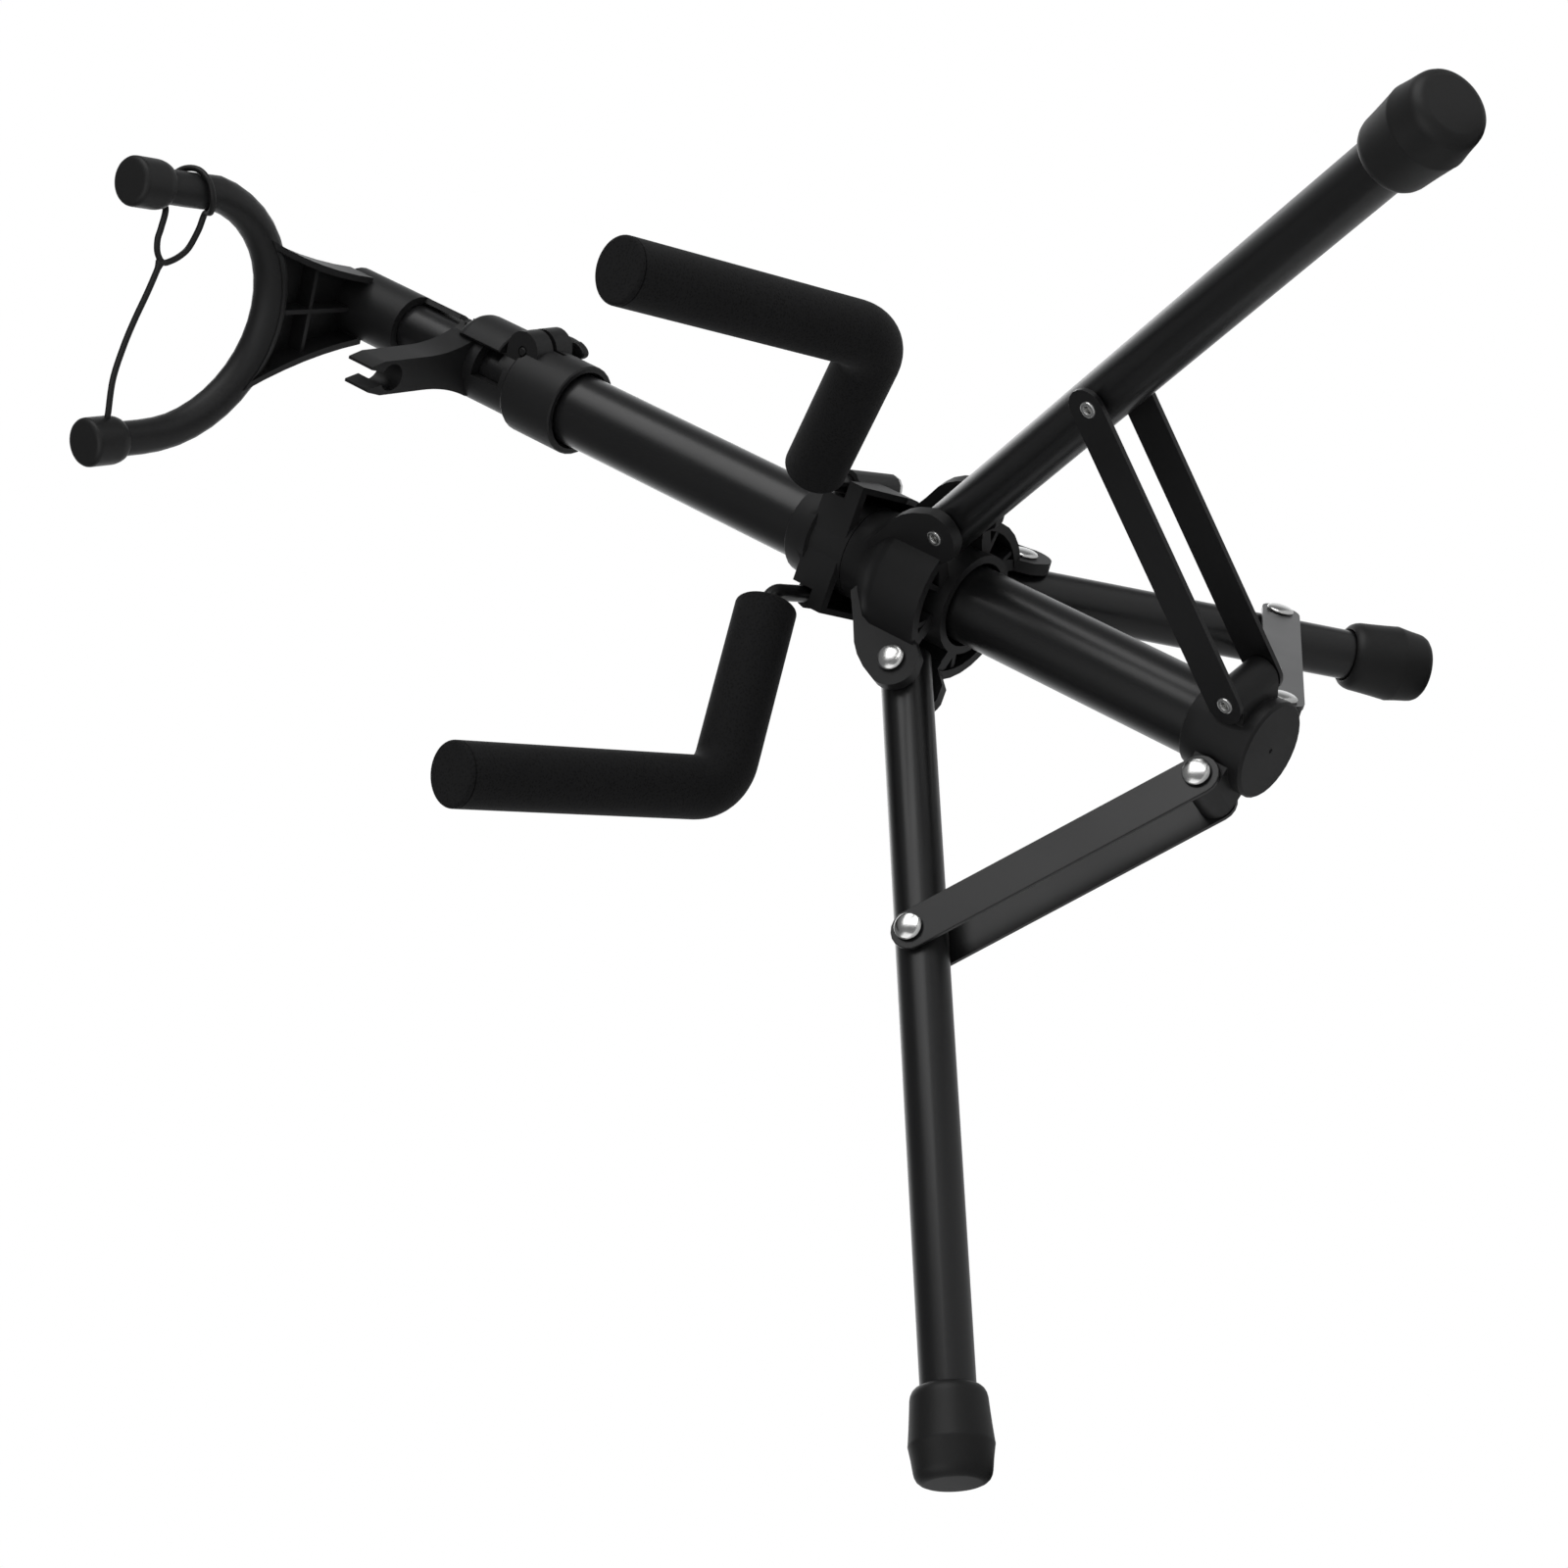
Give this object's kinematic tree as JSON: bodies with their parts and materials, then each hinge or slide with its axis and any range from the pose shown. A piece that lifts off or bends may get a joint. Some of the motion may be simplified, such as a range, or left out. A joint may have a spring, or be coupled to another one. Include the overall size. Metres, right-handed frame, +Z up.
{
  "type": "violin stand",
  "caption": "Folding tripod stand with two padded cradle arms, a height-adjustable neck yoke, a rubber neck strap and a bow clip.",
  "frame": {"origin": "bottom centre of the bounding box, on the floor under the stand as it stands with its legs spread", "axes": "+Z up, -Y to the front, where the violin rests, +X to the right as seen from the front; the mast leans back by 15.85 degrees"},
  "size_m": [0.4106, 0.2822, 0.4364],
  "materials": {
    "black_paint": "semi-gloss black paint on steel",
    "black_plastic": "black moulded nylon with a fine satin surface",
    "black_rubber": "matte black rubber",
    "black_foam": "matte black closed-cell foam",
    "zinc": "bright zinc plating"
  },
  "bodies": {
    "mast": {"main_tube": "black_paint", "base_collar": "black_plastic", "rivet_base_right": "zinc", "rivet_base_left": "zinc", "rivet_base_rear": "zinc", "height_clamp": "black_plastic", "clamp_nut": "zinc"},
    "strut_right": {"strut_bar_right_a": "black_paint", "strut_bar_right_b": "black_paint", "rivet_strut_right": "zinc"},
    "leg_right": {"leg_right": "black_paint", "foot_right": "black_rubber"},
    "hub": {"leg_hub": "black_plastic", "cradle_bracket": "black_plastic", "rivet_hub_right": "zinc", "rivet_hub_left": "zinc", "rivet_hub_rear": "zinc"},
    "leg_left": {"leg_left": "black_paint", "foot_left": "black_rubber"},
    "leg_rear": {"leg_rear": "black_paint", "foot_rear": "black_rubber"},
    "strut_left": {"strut_bar_left_a": "black_paint", "strut_bar_left_b": "black_paint", "rivet_strut_left": "zinc"},
    "strut_rear": {"strut_bar_rear_a": "black_paint", "strut_bar_rear_b": "black_paint", "rivet_strut_rear": "zinc"},
    "arm_right": {"arm_rod_right": "black_paint", "arm_foam_right": "black_foam", "rod_clip_right": "zinc"},
    "arm_left": {"arm_rod_left": "black_paint", "arm_foam_left": "black_foam", "rod_clip_left": "zinc"},
    "clamp_screw": {"clamp_screw": "black_plastic"},
    "guide": {"guide_bush": "black_plastic"},
    "yoke": {"upper_tube": "black_paint", "yoke": "black_plastic", "yoke_cap_right": "black_rubber", "yoke_cap_left": "black_rubber", "neck_strap": "black_rubber"}
  },
  "joints": [
    {"name": "fold", "type": "hinge", "parent": "mast", "child": "strut_right", "pos_m": [0.0162, -0.01765, 0.02989], "axis": [-0.5, -0.8331, 0.2365], "range_deg": [0, 42]},
    {"name": "leg_right_fold", "type": "hinge", "parent": "strut_right", "child": "leg_right", "pos_m": [0.08708, -0.0429, 0.0908], "axis": [0.5, 0.8331, -0.2365], "range_deg": [0, 83.8]},
    {"name": "hub_fold", "type": "hinge", "parent": "leg_right", "child": "hub", "pos_m": [0.02633, 0.00633, 0.13577], "axis": [-0.5, -0.8331, 0.2365], "range_deg": [0, 41.8]},
    {"name": "leg_left_fold", "type": "hinge", "parent": "hub", "child": "leg_left", "pos_m": [-0.02633, 0.00633, 0.13577], "axis": [0.5, -0.8331, 0.2365], "range_deg": [0, 41.8]},
    {"name": "leg_rear_fold", "type": "hinge", "parent": "hub", "child": "leg_rear", "pos_m": [0.00196, 0.05013, 0.12333], "axis": [-0.9979, 0.0621, -0.0176], "range_deg": [0, 41.8]},
    {"name": "strut_left_fold", "type": "hinge", "parent": "mast", "child": "strut_left", "pos_m": [-0.0162, -0.01765, 0.02989], "axis": [-0.5, 0.8331, -0.2365], "range_deg": [0, 42]},
    {"name": "strut_rear_fold", "type": "hinge", "parent": "mast", "child": "strut_rear", "pos_m": [0.00121, 0.00929, 0.02224], "axis": [0.9979, -0.0621, 0.0176], "range_deg": [0, 42]},
    {"name": "arm_right_swing", "type": "hinge", "parent": "hub", "child": "arm_right", "pos_m": [0.01887, 0.0352, 0.17799], "axis": [0.0551, -0.9605, 0.2727], "range_deg": [0, 105]},
    {"name": "arm_left_swing", "type": "hinge", "parent": "hub", "child": "arm_left", "pos_m": [-0.01887, 0.0332, 0.17855], "axis": [-0.0551, 0.9605, -0.2727], "range_deg": [0, 105]},
    {"name": "clamp_screw_turn", "type": "hinge", "parent": "mast", "child": "clamp_screw", "pos_m": [0.01348, 0.07109, 0.31468], "axis": [0.1305, 0.9537, -0.2708], "range_deg": [0, 360]},
    {"name": "height", "type": "slide", "parent": "mast", "child": "guide", "axis": [0, 0.2731, 0.962], "range_m": [-0.006, 0.11]},
    {"name": "yoke_turn", "type": "hinge", "parent": "guide", "child": "yoke", "pos_m": [0, -0.0115, 0.01733], "axis": [0, 0.2731, 0.962], "continuous": true}
  ],
  "couplings": [
    {"joint": "leg_right_fold", "follows": "fold", "ratio": 1.993},
    {"joint": "hub_fold", "follows": "fold", "ratio": 0.99305},
    {"joint": "leg_left_fold", "follows": "fold", "ratio": 0.99305},
    {"joint": "leg_rear_fold", "follows": "fold", "ratio": 0.99305},
    {"joint": "strut_left_fold", "follows": "fold", "ratio": 1},
    {"joint": "strut_rear_fold", "follows": "fold", "ratio": 1}
  ]
}
